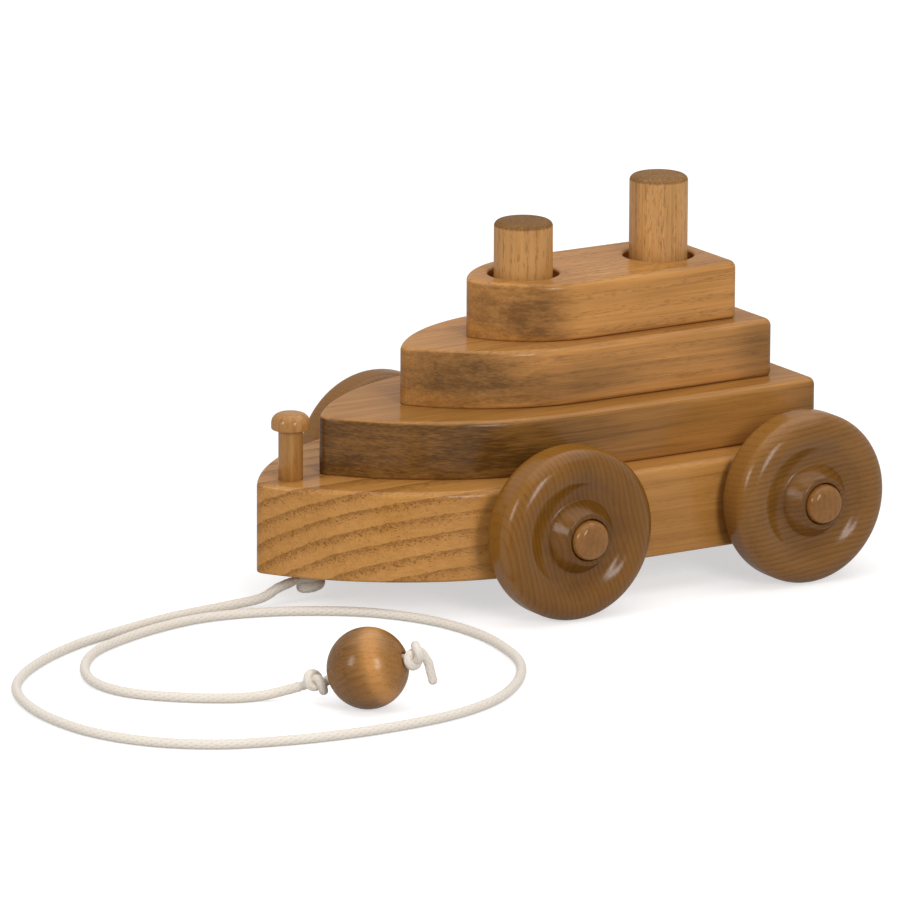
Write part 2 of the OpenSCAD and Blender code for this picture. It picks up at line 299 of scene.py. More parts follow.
def makeWoodGroup():
    group, given, result = newGroup(
        "stainedWood",
        {
            "Vector": "Vector", "Pale": "Color", "Deep": "Color", "Line": "Color",
            **{title: "Float" for title in (*grainSockets.values(), "Stain And Light", "End Grain")},
        },
        {"Color": "Color", "Roughness": "Float", "Height": "Float"},
    )
    noise = {name: stretchedNoise(group, given["Vector"], *plan) for name, plan in grainNoises.items()}
    swings = ("drift", "jitter", "fibre", "streaks", "clouds")
    swing = {name: combine(group, "SUBTRACT", noise[name], 0.5) for name in swings}
    share = grainShares
    across = vectorMath(group, "MULTIPLY", given["Vector"], (0, 1, 1))[0]
    radius = plus(
        group, vectorMath(group, "LENGTH", across)["Value"],
        times(group, swing["drift"], given["Wander"], share["wander"]),
        times(group, swing["jitter"], share["jitter"]),
    )
    year = plus(group, combine(group, "DIVIDE", radius, given["Ring Width"]), given["Ring Shift"])
    year = combine(group, "FRACT", year)
    # a year's ring darkens slowly, ends in a soft line and opens pores on the way
    line = times(
        group, ramp(group, year, *grainRamps["lineRise"]), ramp(group, year, *grainRamps["lineFall"]),
        ramp(group, noise["lineGaps"], *grainRamps["lineGaps"]), given["Rings"],
    )
    zone = times(
        group, ramp(group, year, *grainRamps["zoneRise"]), ramp(group, year, *grainRamps["zoneFall"])
    )
    crowd = times(group, zone, share["crowd"])
    fine, coarse = (
        ramp(group, plus(group, noise[name], crowd), *grainRamps[name])
        for name in ("finePores", "coarsePores")
    )
    pore = times(group, combine(group, "MAXIMUM", fine, coarse), given["Pores"])
    fibre = times(group, swing["fibre"], given["Fibre"])
    # the stain input also carries painted shade, light and sheen on the ball and the wheels
    depth = plus(
        group, times(group, swing["clouds"], given["Clouds"], share["clouds"]),
        times(group, zone, given["Rings"], share["ringRise"]), given["Stain And Light"], fibre,
        times(group, swing["streaks"], given["Streaks"], share["streaks"]),
    )
    depth = combine(group, "ADD", depth, share["base"], clamp=True)
    color = mixColor(group, depth, given["Pale"], given["Deep"])
    mark = combine(group, "MAXIMUM", times(group, line, share["lineMark"]), pore)
    color = mixColor(group, combine(group, "MULTIPLY", mark, share["mark"], clamp=True), color, given["Line"])
    speckle = combine(group, "ADD", times(group, fibre, share["endSpeckle"]), share["endBase"], clamp=True)
    endShade = combine(group, "MULTIPLY", given["End Grain"], speckle, clamp=True)
    color = mixColor(group, endShade, color, given["Line"])
    dull = times(group, plus(group, pore, given["End Grain"]), share["dull"])
    low = plus(group, times(group, pore, share["poreDepth"]), times(group, line, share["lineDepth"]))
    height = combine(group, "SUBTRACT", times(group, fibre, share["fibreRise"]), low)
    group.links.new(color, result.inputs["Color"])
    group.links.new(plus(group, dull, share["rough"]), result.inputs["Roughness"])
    group.links.new(height, result.inputs["Height"])
    return group


def makePatchGroup():
    # a soft patch, its edge broken up along the grain: mostly where the stain took darker, also the wheels'
    # painted dish shade and the ball's painted sheen
    group, given, result = newGroup(
        "stainAndLightPatch", {"Vector": "Vector", "Centre": "Vector", "Reach": "Vector", "Amount": "Float"},
        {"Stain And Light": "Float"},
    )
    away = vectorMath(group, "SUBTRACT", given["Vector"], given["Centre"])[0]
    away = vectorMath(group, "DIVIDE", away, given["Reach"])[0]
    ragged = combine(group, "SUBTRACT", stretchedNoise(group, given["Vector"], *patchPlan["noise"]), 0.5)
    away = plus(group, vectorMath(group, "LENGTH", away)["Value"], times(group, ragged, patchPlan["ragged"]))
    stainAndLight = times(group, ramp(group, away, *patchPlan["fade"]), given["Amount"])
    group.links.new(stainAndLight, result.inputs["Stain And Light"])
    return group


woodGroup = makeWoodGroup()
patchGroup = makePatchGroup()

# what a wood is where its own plan says nothing else; patches are (centre, reach, amount)
plainWood = {
    "turn": (0, 0, 0), "grain": (1, 0, 0), "flat": 1, "ringShift": 0.0, "patches": (), "patchesTurned": False,
    "endFrom": (0.6, 0.98), "coat": 0.8, "coatRough": 0.2, "relief": 0.12,
}
# the varnish is thin: it mirrors less on end grain, and less where it is seen at a slant
varnish = {
    "shader": {"Specular IOR Level": 0.0, "IOR": 1.45, "Coat IOR": 1.3},
    "endFade": (0.1, 0.6, 1, 0.4),
    "slantFade": (0.35, 0.75, 1, 0.45),
}
bumpDepth = 0.2


def heartFrom(middle, turn, away):
    # where the tree's heart runs: so far from the piece's middle, measured along the turned grain
    turned = Euler([math.radians(angle) for angle in turn]).to_matrix() @ Vector(middle)
    return tuple(Vector(away) - turned)


# adds up a wood's patches and face tone: stain, and on the ball and wheels also painted sheen, shade and
# light
def stainAndLightOn(tree, wood, vector):
    patches = [
        addNode(
            tree, "ShaderNodeGroup", {"Vector": vector, "Centre": centre, "Reach": reach, "Amount": amount},
            node_tree=patchGroup,
        ).outputs[0]
        for centre, reach, amount in wood["patches"]
    ]
    stainAndLight = plus(tree, 0.0, *patches)
    if "sidesFrom" in wood:
        upright = ramp(tree, facingShare(tree, (0, 0, 1)), *wood["sidesFrom"], 1, 0)
        stainAndLight = times(tree, stainAndLight, upright)
    # a tone by how squarely a face turns to an axis: more stain on the boards' flat tops, painted light on
    # the wheels' rims
    if "faceStainAndLight" in wood:
        plan = wood["faceStainAndLight"]
        face = ramp(tree, facingShare(tree, plan["axis"]), *plan["from"], 0, plan["amount"])
        stainAndLight = plus(tree, stainAndLight, face)
    return stainAndLight


def woodMaterial(name, wood):
    wood = {**plainWood, **wood}
    material, tree = newMaterial(name)
    plain = ownPlace(tree)
    grained = ownPlace(tree, (1, wood["flat"], 1), wood["turn"], wood["heart"])
    endGrain = ramp(tree, facingShare(tree, wood["grain"]), *wood["endFrom"])
    endGrain = times(tree, endGrain, wood["endShade"])
    if "ringFade" in wood:
        along = addNode(tree, "ShaderNodeSeparateXYZ", {0: plain}).outputs["X"]
        wood["rings"] = wood["pores"] = ramp(tree, along, *wood["ringFade"])
    grain = addNode(
        tree, "ShaderNodeGroup",
        {
            "Vector": grained, "End Grain": endGrain,
            "Stain And Light": stainAndLightOn(tree, wood, grained if wood["patchesTurned"] else plain),
            **{title: wood[key] for key, title in grainSockets.items()},
            **{title: tone(*wood[title.lower()]) for title in ("Pale", "Deep", "Line")},
        },
        node_tree=woodGroup,
    ).outputs
    bump = addNode(
        tree, "ShaderNodeBump",
        {"Height": grain["Height"], "Strength": wood["relief"], "Distance": bumpDepth * mm},
    )
    slant = addNode(tree, "ShaderNodeLayerWeight").outputs["Facing"]
    coat = times(
        tree, ramp(tree, endGrain, *varnish["endFade"]), wood["coat"],
        ramp(tree, slant, *varnish["slantFade"]),
    )
    shader = addNode(
        tree, "ShaderNodeBsdfPrincipled",
        {
            "Base Color": grain["Color"], "Roughness": grain["Roughness"], "Normal": bump.outputs[0],
            "Coat Weight": coat, "Coat Roughness": wood["coatRough"], **varnish["shader"],
        },
    )
    addNode(tree, "ShaderNodeOutputMaterial", {"Surface": shader.outputs[0]})
    return material


# the cord: an off-white braid along its way over the floor, points in millimetres

cordPlan = {
    "diameter": 3.2,
    "spacing": 0.42,
    "sides": 24,
    "strands": 6,
    "pick": 3.0,
    "relief": 0.2,
    "crown": 2.2,
    "uvLength": 10,
    "sharpFrom": 60,
    "way": [
        (85.95, -0.61, 7.65), (91.9, -1.4, 5.8), (97.9, -2.8, 2.8), (111.8, -4.2, 1.6), (131.7, -1.8, 1.6),
        (153.6, 4.4, 1.6), (171.6, 10.7, 1.6), (189.5, 20.9, 1.6), (204.4, 33.4, 1.6), (214.3, 47, 1.6),
        (219.7, 63.5, 1.6), (221, 81.1, 1.6), (217.7, 100.6, 1.6), (208.2, 117.7, 1.6), (193.3, 130.5, 1.6),
        (175.4, 137.4, 1.6), (155.5, 141.3, 1.6), (133.6, 142.2, 1.6), (111.7, 139.6, 1.6),
        (92.7, 131.8, 1.6), (76.8, 118.2, 1.6), (65.4, 101.7, 1.6), (59.9, 84.2, 1.6), (58.2, 64.7, 1.6),
        (62.4, 44.2, 1.6),
        (73.9, 26.1, 1.6), (90.9, 13.5, 1.6), (107.8, 6.6, 1.6), (123.8, 4.3, 1.6), (139.7, 6.9, 1.6),
        (156.6, 12.9, 1.6), (172.5, 22.1, 1.6), (184.5, 37, 1.6), (189.6, 53, 1.6), (186.4, 67.7, 1.6),
        (175.4, 80.4, 1.6), (162.5, 89.3, 1.6), (153.8, 92.2, 1.8),
    ],
}
ballPlan = {
    "diameter": 25.4,
    "centre": Vector((129.3, 115.4, 12.7)),
    "turn": 132.6,
    "tilt": 19.2,
    "bore": 4.0,
    "lip": 0.8,
    "lipFoot": (0.15, 0.62),
    "lipCrown": 0.55,
    "steps": 64,
}


def ballDirection():
    turn = math.radians(ballPlan["turn"])
    tilt = math.radians(ballPlan["tilt"])
    return Vector((math.cos(tilt) * math.cos(turn), math.cos(tilt) * math.sin(turn), math.sin(tilt)))


boreWay = ballDirection()
# the ball's knots are tied overhand: waves along the bore, to one side and across both
knotPlan = {
    "diameter": 8.6,
    "gap": 0.3,
    "lift": 0.465,
    "neck": 5.0,
    "neckShares": (1.3, 1.1, 0.85),
    "strand": 2.95,
    "size": 0.78,
    "shift": 0.8,
    "steps": 20,
    "alongWaves": (2.6, -3.8, 0.9),
    "sideWaves": (1.2, -2.8, -2.1),
    "depthWaves": (-0.3, 1.7, 2.0),
    "outerShift": 0.9,
    "tail": Vector((-4.5, 1.8, -9.8)),
    "tailBends": ((2.3, 0.3), (1.5, 0.55), (0.7, 0.8), (0, 1)),
}
# the hull's knot is wound round the cord's stem
hullKnotPlan = {
    "place": Vector((80.5, 0, 7.2)),
    "diameter": 9.4,
    "strand": 3.8256,
    "turns": 1.5,
    "startTurn": 0.6,
    "steps": 22,
    "dive": (1, 0.62, 0.25),
    "stem": (0, 5, 10, 15.5),
    "exit": Vector((0.975, -0.11, 0.08)),
    "exitReach": 2.4,
    "exitShares": (0, 0.4, 0.7, 1.0),
    "stub": 3.0,
}

knotOff = ballPlan["diameter"] / 2 + knotPlan["gap"] + knotPlan["lift"] * knotPlan["diameter"]
innerKnotAt = ballPlan["centre"] - boreWay * knotOff
outerKnotAt = ballPlan["centre"] + boreWay * knotOff
cordEnd = innerKnotAt - boreWay * knotPlan["neck"]
lastStraight = 7
cordPlan["way"] += [tuple(cordEnd - boreWay * lastStraight), tuple(cordEnd)]


def curvePoint(before, start, end, after, share):
    return 0.5 * (
        2 * start + (end - before) * share + (2 * before - 5 * start + 4 * end - after) * share ** 2
        + (3 * start - before - 3 * end + after) * share ** 3
    )


def evenWay(points, spacing, perStretch=24):
    # points evenly spaced on a smooth curve through the given ones, and its length
    points = [Vector(point) for point in points]
    last = len(points) - 1
    fine = []
    for i in range(last):
        four = points[max(i - 1, 0)], points[i], points[i + 1], points[min(i + 2, last)]
        fine += [curvePoint(*four, step / perStretch) for step in range(perStretch)]
    fine.append(points[last])
    run = [0.0]
    for one, two in zip(fine, fine[1:]):
        run.append(run[-1] + (two - one).length)
    count = max(4, round(run[-1] / spacing))
    way = []
    at = 0
    for step in range(count + 1):
        target = run[-1] * step / count
        while at < len(run) - 2 and run[at + 1] < target:
            at += 1
        share = (target - run[at]) / max(run[at + 1] - run[at], 1e-9)
        way.append(fine[at].lerp(fine[at + 1], min(share, 1)))
    return way, run[-1]


def weave(around, along, pick):
    # height of two crossing families of strands, from -0.5 in the gaps to 0.5 on the crowns
    first = cordPlan["strands"] * around + along / pick
    second = cordPlan["strands"] * around - along / pick
    firstRow = round(first)
    secondRow = round(second)
    over = 0.5 * math.cos(math.pi * (second + firstRow)) - cordPlan["crown"] * (first - firstRow) ** 2
    under = -0.5 * math.cos(math.pi * (first + secondRow)) - cordPlan["crown"] * (second - secondRow) ** 2
    return max(over, under, -0.5)


def addBraid(bm, points, diameter, up=zAxis):
    # a closed tube along the points, its ends rounded, with the braid's height in its shape and in "dip"
    way, length = evenWay(points, cordPlan["spacing"])
    rings, sides = len(way) - 1, cordPlan["sides"]
    uvLayer = bm.loops.layers.uv.verify()
    dips = bm.verts.layers.float.get("dip") or bm.verts.layers.float.new("dip")
    made = bmesh.ops.create_grid(bm, x_segments=rings, y_segments=sides, size=1, calc_uvs=True)["verts"]
    pick = length / max(1, round(length / cordPlan["pick"]))
    for face in {face for vert in made for face in vert.link_faces}:
        for loop in face.loops:
            loop[uvLayer].uv.x *= length / cordPlan["uvLength"]
    for vert in made:
        ring = round((vert.co.x + 1) / 2 * rings)
        around = round((vert.co.y + 1) / 2 * sides) / sides
        heading = (way[min(ring + 1, rings)] - way[max(ring - 1, 0)]).normalized()
        side = heading.cross(up).normalized()
        rise = side.cross(heading)
        along = ring * length / rings
        height = weave(around, along, pick)
        thick = diameter / 2 - cordPlan["relief"] * (0.5 - height)
        toEnd = min(along, length - along) / (diameter / 2)
        if toEnd < 1:
            thick *= math.sqrt(max(0, 1 - (1 - toEnd) ** 2))
        angle = math.tau * around
        vert.co = (way[ring] + thick * (math.cos(angle) * side + math.sin(angle) * rise)) * mm
        vert[dips] = 0.5 - height


# the cord's tones: its own off-white on the crowns, a darker "dip" tone in the gaps between strands that is
# painted shade, and wear and hairs as its own marks
cordLook = {
    "crown": (226, 217, 205), "dip": (206, 194, 176), "gapShadeRamp": (0.3, 1.0),
    "wear": {"noise": ((0.06, 0.06, 0.06), 2), "ramp": (0.45, 0.75, 0, 0.3), "tone": (220, 208, 190)},
    "hairs": {"noise": ((2.6, 2.6, 2.6), 2, 0.7), "ramp": (0.5, 0.8, 0, 0.25), "tone": (204, 188, 166)},
    "dipDepth": 0.5, "relief": 0.35,
    "shader": {"Roughness": 0.72, "Sheen Weight": 0.25, "Sheen Roughness": 0.5},
}


def makeCordMaterial():
    material, tree = newMaterial("cordBraid")
    dip = addNode(tree, "ShaderNodeAttribute", attribute_name="dip").outputs["Fac"]
    plain = ownPlace(tree)
    # painted shade: the braid is darker where it dips between its strands
    gapShade = ramp(tree, dip, *cordLook["gapShadeRamp"])
    color = mixColor(tree, gapShade, tone(*cordLook["crown"]), tone(*cordLook["dip"]))
    for look in (cordLook["wear"], cordLook["hairs"]):
        noise = stretchedNoise(tree, plain, *look["noise"])
        color = mixColor(tree, ramp(tree, noise, *look["ramp"]), color, tone(*look["tone"]))
    height = combine(tree, "SUBTRACT", noise, times(tree, dip, cordLook["dipDepth"]))
    bump = addNode(
        tree, "ShaderNodeBump", {"Height": height, "Strength": cordLook["relief"], "Distance": bumpDepth * mm}
    )
    shader = addNode(
        tree, "ShaderNodeBsdfPrincipled",
        {"Base Color": color, "Normal": bump.outputs[0], **cordLook["shader"]},
    )
    addNode(tree, "ShaderNodeOutputMaterial", {"Surface": shader.outputs[0]})
    return material


cordMaterial = makeCordMaterial()


def makeCordPiece(name, node, *ways):
    bm = bmesh.new()
    for way in ways:
        addBraid(bm, *way)
    cleanUp(bm)
    piece = newPiece(name, bm, cordMaterial, sharpAngle=cordPlan["sharpFrom"])
    settle(piece, "boat", node)
    return piece


def overhand(share):
    # an overhand knot pulled tight: its way from share -1 to 1, the second half the first turned half round
    turn = math.pi * share
    along, side = (
        waves[0] * share + waves[1] * math.sin(turn) + waves[2] * math.sin(2 * turn)
        for waves in (knotPlan["alongWaves"], knotPlan["sideWaves"])
    )
    waves = knotPlan["depthWaves"]
    depth = waves[0] + waves[1] * math.cos(turn) + waves[2] * math.cos(2 * turn)
    return along, side, depth - knotPlan["shift"]


def makeBallKnot(name, node, place, lobe, hand, tail=None):
    # the lobe says to which side the knot's loop stands, the hand which way it is tied
    side = (lobe - boreWay * lobe.dot(boreWay)).normalized()
    other = boreWay.cross(side) * hand
    steps = knotPlan["steps"]
    bends = [overhand(2 * step / steps - 1) for step in range(steps + 1)]
    way = [place + knotPlan["size"] * (x * boreWay + y * side + z * other) for x, y, z in bends]
    neck = [boreWay * knotPlan["neck"] * share for share in knotPlan["neckShares"]]
    if tail:
        leave = [boreWay * off + tail * share for off, share in knotPlan["tailBends"]]
    else:
        leave = reversed(neck)
    way = [place - part for part in neck] + way + [place + part for part in leave]
    return makeCordPiece(name, node, (way, knotPlan["strand"], other))


def makeHullKnot():
    # the wraps are a helix, both ends diving under them; the stem goes up and a stub meets the cord
    plan = hullKnotPlan
    place, strand, steps = plan["place"], plan["strand"], plan["steps"]
    reach = (plan["diameter"] - strand) / 2
    half = knotPlan["lift"] * plan["diameter"] - strand / 2
    wraps = []
    for step in range(1 - len(plan["dive"]), steps + len(plan["dive"])):
        share = step / steps
        angle = math.tau * (plan["turns"] * share + plan["startTurn"])
        out = reach * plan["dive"][max(-step, step - steps, 0)]
        lift = half * (2 * min(max(share, 0), 1) - 1)
        wraps.append(place + zAxis * lift + out * (math.cos(angle) * yAxis - math.sin(angle) * xAxis))
    stem = [place + zAxis * rise for rise in plan["stem"]]
    leave = plan["exit"].normalized() * (plan["diameter"] / 2 + plan["exitReach"])
    stub = [place + leave * share for share in plan["exitShares"]]
    return makeCordPiece(
        "hullKnot", "hull_knot", (wraps, strand), (stem, cordPlan["diameter"], xAxis), (stub, plan["stub"])
    )


def makeCordInBall():
    half = boreWay * (knotOff - knotPlan["neck"])
    way = [ballPlan["centre"] + half * share for share in (-1, -0.5, 0, 0.5, 1)]
    return makeCordPiece("cordInBall", "cord_in_ball", (way, cordPlan["diameter"]))


pullCord = makeCordPiece("pullCordBraid", "pull_cord", (cordPlan["way"], cordPlan["diameter"]))
innerKnot = makeBallKnot("ballInnerKnot", "ball_inner_knot", innerKnotAt, -zAxis, 1)
outerShift = boreWay * knotPlan["outerShift"]
outerKnot = makeBallKnot(
    "ballOuterKnot", "ball_outer_knot", outerKnotAt - outerShift, zAxis, -1, knotPlan["tail"] + outerShift
)
hullKnot = makeHullKnot()
cordInBall = makeCordInBall()
print("cord and knots made")


# the ball, turned round its bore


def makeBall():
    # the grain runs along the bore, with a pale stripe round the ball that is painted sheen
    turn = [math.degrees(angle) for angle in boreWay.to_track_quat("X", "Z").inverted().to_euler()]
    away = (0, -16, -30)
    # bands across the grain: where, half how wide and how strong, and as high as the whole ball; the darker
    # two are stain, the pale one is painted sheen
    stainAndSheenBands = ((-6, 13, 0.55), (5.4, 3.4, -0.3), (12, 6, 0.35))
    bandHigh = 90
    wood = {
        "turn": turn, "heart": heartFrom(ballPlan["centre"], turn, away), "grain": tuple(boreWay),
        "ringWidth": 1.6, "wander": 0.6, "pale": (192, 136, 74), "deep": (94, 60, 20), "line": (76, 46, 14),
        "rings": 0.05, "pores": 0.25, "fibre": 0.45, "streaks": 0.08, "clouds": 0.2,
        "coat": 1.0, "coatRough": 0.22, "endShade": 0.1, "patchesTurned": True,
        "patches": [((x, *away[1:]), (wide, bandHigh, bandHigh), amount) for x, wide, amount in stainAndSheenBands],
    }
    radius, boreR, lip = ballPlan["diameter"] / 2, ballPlan["bore"] / 2, ballPlan["lip"]
    centre, side = ballPlan["centre"], boreWay.cross(zAxis).normalized()
    mouth = math.sqrt(radius ** 2 - boreR ** 2) - lip
    crownR = boreR + lip * ballPlan["lipCrown"]
    crown = math.sqrt(radius ** 2 - crownR ** 2)
    lipR, lipAt = boreR + lip * ballPlan["lipFoot"][0], mouth + lip * ballPlan["lipFoot"][1]
    bm = bmesh.new()
    corner = startAt(bm, centre + side * boreR - boreWay * mouth)
    for out, along in ((boreR, mouth), (lipR, lipAt), (crownR, crown)):
        corner = lineTo(bm, corner, centre + side * out + boreWay * along)
    sweep = math.degrees(2 * math.acos(crownR / radius))
    corner = arcTo(bm, corner, centre, boreWay.cross(side), sweep, ballPlan["steps"])
    corner = lineTo(bm, corner, centre + side * lipR - boreWay * lipAt)
    lineTo(bm, corner, centre + side * boreR - boreWay * mouth)
    spinRound(bm, centre, boreWay)
    piece = newPiece("pullBall", bm, woodMaterial("ballWood", wood), sharpAngle=turnedSharp)
    settle(piece, "ball", "pull_ball")
    return piece


pullBall = makeBall()
evenWay(cordPlan["way"], cordPlan["spacing"])[1] * mm
[tuple(point * mm) for point in evenWay(cordPlan["way"], 2.0)[0]]


# the hull and the three decks, one outline for all

hullPlan = {
    "tip": 100, "length": 200, "width": 97, "thick": 29.5, "under": 12.2, "bow": 83,
    "noseR": 3.3, "cornerR": 3.6, "edgeR": 2.7, "bowEase": 0.5, "footEase": 0.5,
    "wood": {
        "heart": (0, -77, 87), "ringWidth": 5.75, "ringShift": -0.1, "wander": 1.1,
        "pale": (198, 143, 78), "deep": (146, 96, 40), "line": (94, 56, 16),
        "ringFade": (30, 62, 0.2, 0.8), "fibre": 0.45, "streaks": 0.35, "clouds": 0.3, "endShade": 0.2,
        "sidesFrom": (0.35, 0.8), "faceStainAndLight": {"axis": (0, 0, 1), "from": (0.5, 0.9), "amount": 0.2},
        "patches": [((-30, 48, 20), (60, 12, 22), 0.3)],
    },
}
deckPlans = {
    "lower": {
        "tip": 76.8, "length": 165, "width": 76, "under": 41.7, "bow": 71,
        "wood": {
            "heart": (30, 0, 240), "ringWidth": 3.4, "wander": 1.4, "flat": 0.3,
            "pale": (186, 130, 66), "deep": (86, 57, 23), "line": (64, 40, 10),
            "rings": 0.1, "pores": 0.12, "fibre": 0.7, "streaks": 0.22, "clouds": 0.2, "endShade": 0.2,
            "patches": [
                ((52, 20, 52), (60, 60, 60), 0.55), ((78, 6, 52), (14, 24, 30), 0.15),
                ((0, 38, 50), (60, 20, 20), 0.22), ((-90, 38, 50), (16, 14, 20), 0.4),
            ],
        },
    },
    "middle": {
        "tip": 46.7, "length": 124, "width": 57, "under": 60.7, "bow": 52,
        "wood": {
            "heart": (10, -48, 95), "ringWidth": 4.6, "wander": 3.2, "flat": 0.5,
            "pale": (202, 143, 79), "deep": (104, 71, 32), "line": (74, 44, 12),
            "rings": 0.12, "pores": 0.25, "fibre": 0.6, "streaks": 0.28, "clouds": 0.45, "endShade": 0.25,
            "patches": [
                ((32, 14, 70), (26, 26, 18), 0.5), ((0, 28, 68), (34, 12, 8), 0.3),
                ((-76, 28, 70), (16, 12, 20), 0.35),
            ],
        },
    },
    "upper": {
        "tip": 21.7, "length": 89.5, "width": 43.5, "under": 79.7, "bow": 33,
        "wood": {
            "heart": (5, 0, -190), "ringWidth": 5.2, "wander": 1.6, "flat": 0.5,
            "pale": (207, 147, 80), "deep": (116, 77, 33), "line": (84, 52, 18),
            "rings": 0.12, "pores": 0.35, "fibre": 0.5, "streaks": 0.35, "clouds": 0.4, "endShade": 0.25,
            "patches": [((6, 17, 88), (15, 11, 13), 0.7), ((16, 6, 88), (10, 12, 14), 0.35)],
        },
    },
}
# a patch shows on upright faces only, and the flat tops took a little more stain
deckFinish = {"sidesFrom": (0.35, 0.8), "faceStainAndLight": {"axis": (0, 0, 1), "from": (0.5, 0.9), "amount": 0.1}}
# each deck rests a hair above the board under it
deckShape = {
    "thick": 18.98, "rest": 0.02, "noseR": 3, "cornerR": 3, "edgeR": 2.5, "bowEase": 0.42, "footEase": 0.5,
}
# steps of each arc, and how fast the edges get sharper towards the bow
boardPlan = {
    "sideSteps": 56, "noseSteps": 14, "cornerSteps": 8, "edgeSteps": 7, "easePower": 1.5, "mergeWithin": 0.01,
}
postPlan = {
    "diameter": 19.05, "front": (1, 115.9), "rear": (-50.7, 125.1), "foot": 25.7, "footEdge": 0.6,
    "round": 2, "roundSteps": 8, "play": 2, "mouth": 0.9,
}
pegPlan = {
    "x": 88, "shank": 7.9, "foot": 25.7, "footEdge": 0.5, "neckR": 0.3, "edgeSteps": 4,
    "headFrom": 58, "headD": 12.5, "headEdge": 0.5, "headSide": 2, "flatD": 6, "domeSteps": 12,
}
axlePlan = {
    "diameter": 12.7, "front": 19.7, "rear": -69.3, "height": 28, "end": 73.1,
    "round": 2.8, "roundSteps": 10, "play": 0.1,
}
# holes in the hull: how loosely pins are glued, how far cutters reach past a face, where the cord goes in
holePlan = {"glue": 0.05, "past": 3, "cordFrom": 10, "cordTo": 25, "mouthPast": 2, "mouthSteps": 5}


def addBoard(bm, plan):
    tip, bowEase = plan["tip"], plan["bowEase"]
    stern = tip - plan["length"]
    noseR, cornerR = plan["noseR"], plan["cornerR"]
    low, thick = plan["under"], plan["thick"]
    half = plan["width"] / 2
    noseX = tip - noseR
    arcX = tip - plan["bow"]
    run = noseX - arcX
    arcR = (run ** 2 + half ** 2 - noseR ** 2) / (2 * half - 2 * noseR)
    arcY = arcR - half
    fan = math.degrees(math.atan2(arcY, run))
    sideSteps, cornerSteps = boardPlan["sideSteps"], boardPlan["cornerSteps"]
    corner = startAt(bm, (stern + cornerR, -half, low))
    corner = lineTo(bm, corner, (arcX, -half, low))
    corner = arcTo(bm, corner, (arcX, arcY, low), zAxis, 90 - fan, sideSteps)
    corner = arcTo(bm, corner, (noseX, 0, low), zAxis, 2 * fan, boardPlan["noseSteps"])
    corner = arcTo(bm, corner, (arcX, -arcY, low), zAxis, 90 - fan, sideSteps)
    corner = lineTo(bm, corner, (stern + cornerR, half, low))
    corner = arcTo(bm, corner, (stern + cornerR, half - cornerR, low), zAxis, 90, cornerSteps)
    corner = lineTo(bm, corner, (stern, cornerR - half, low))
    arcTo(bm, corner, (stern + cornerR, cornerR - half, low), zAxis, 90, cornerSteps)
    bmesh.ops.remove_doubles(bm, verts=bm.verts, dist=boardPlan["mergeWithin"] * mm)
    base = bmesh.ops.contextual_create(bm, geom=bm.edges[:])["faces"]
    made = bmesh.ops.extrude_face_region(bm, geom=base)["geom"]
    lid = [part for part in made if isinstance(part, bmesh.types.BMVert)]
    bmesh.ops.translate(bm, verts=lid, vec=(0, 0, thick * mm))
    cleanUp(bm)
    bm.normal_update()
    # the edges are eased fully aft and less and less towards the bow, and less under the board
    caps = [face for face in bm.faces if abs(face.normal.z) > 0.9]
    weights = bm.edges.layers.float.new("bevel_weight_edge")
    for edge in bm.edges:
        if sum(face in caps for face in edge.link_faces) != 1:
            continue
        middle = (edge.verts[0].co + edge.verts[1].co) / 2 / mm
        ahead = min(max((middle.x - arcX) / (tip - arcX), 0), 1)
        full = 1 if middle.z > low + thick / 2 else plan["footEase"]
        edge[weights] = full * (1 - ahead ** boardPlan["easePower"] * (1 - bowEase))


def easeEdges(piece, radius):
    eased = piece.modifiers.new("easedEdges", "BEVEL")
    eased.width = radius * mm
    eased.segments = boardPlan["edgeSteps"]
    eased.limit_method = "WEIGHT"
    eased.use_clamp_overlap = False


def plainRod(name, start, end, axis, radius, flare=0.0):
    # a cutter: a rod between two points, flared at both ends where the mouth is eased
    bm = bmesh.new()
    side = axis.cross(xAxis if abs(axis.x) < 0.5 else yAxis).normalized()
    start, end = Vector(start), Vector(end)
    corner = startAt(bm, start)
    if flare:
        spin = axis.cross(side)
        past, steps = holePlan["mouthPast"], holePlan["mouthSteps"]
        wide = radius + flare
        corner = lineTo(bm, corner, start + side * wide)
        corner = lineTo(bm, corner, start + side * wide + axis * past)
        corner = arcTo(bm, corner, start + side * wide + axis * (past + flare), spin, 90, steps)
        corner = lineTo(bm, corner, end + side * radius - axis * (past + flare))
        corner = arcTo(bm, corner, end + side * wide - axis * (past + flare), spin, 90, steps)
        corner = lineTo(bm, corner, end + side * wide)
    else:
        corner = lineTo(bm, corner, start + side * radius)
        corner = lineTo(bm, corner, end + side * radius)
    lineTo(bm, corner, end)
    spinRound(bm, start, axis)
    return linkMesh(name, bm)


